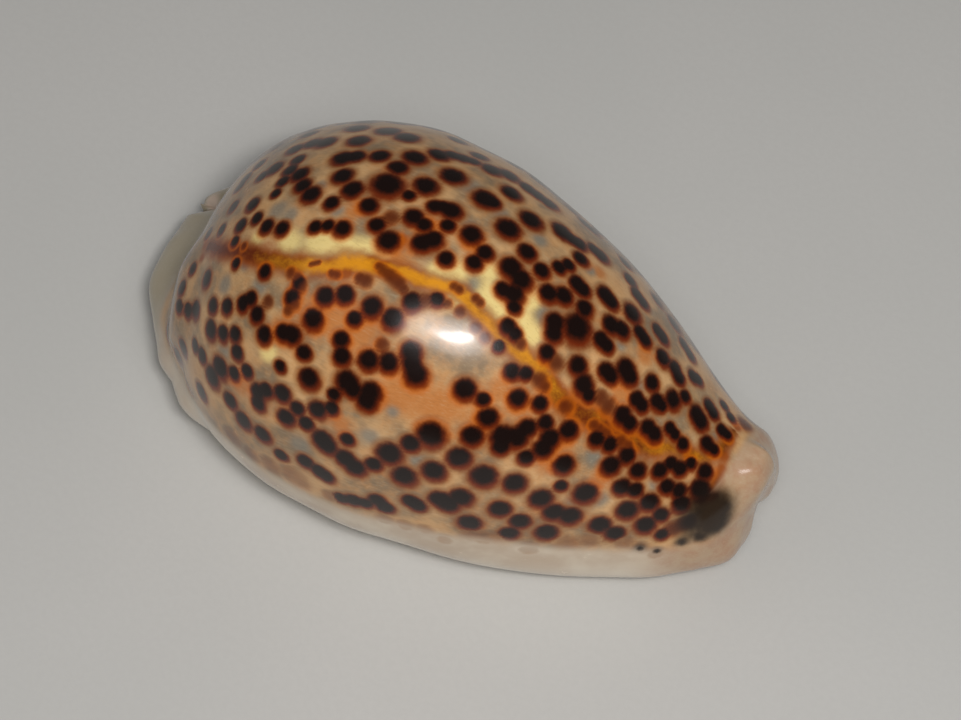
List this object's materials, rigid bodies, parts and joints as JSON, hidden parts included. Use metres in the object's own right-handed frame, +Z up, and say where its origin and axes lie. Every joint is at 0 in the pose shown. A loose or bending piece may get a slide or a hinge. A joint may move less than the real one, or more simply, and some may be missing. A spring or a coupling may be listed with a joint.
{
  "type": "panther cowrie shell",
  "caption": "Egg-shaped glossy sea shell with a high spotted back, a toothed slit along its base and a canal notch at each end.",
  "frame": {"origin": "middle of the shell's outline at the level of the surface that it rests on", "axes": "+X towards the narrow canal end, -X towards the wide spire end, -Y on the outer lip's side, +Y on the inner lip's side, +Z up through the back"},
  "size_m": [0.0682, 0.04, 0.0334],
  "materials": {
    "shell": "glossy natural shell enamel, cream and tan ground with dark brown spots"
  },
  "bodies": {
    "root": {"shell": "shell"}
  },
  "joints": []
}
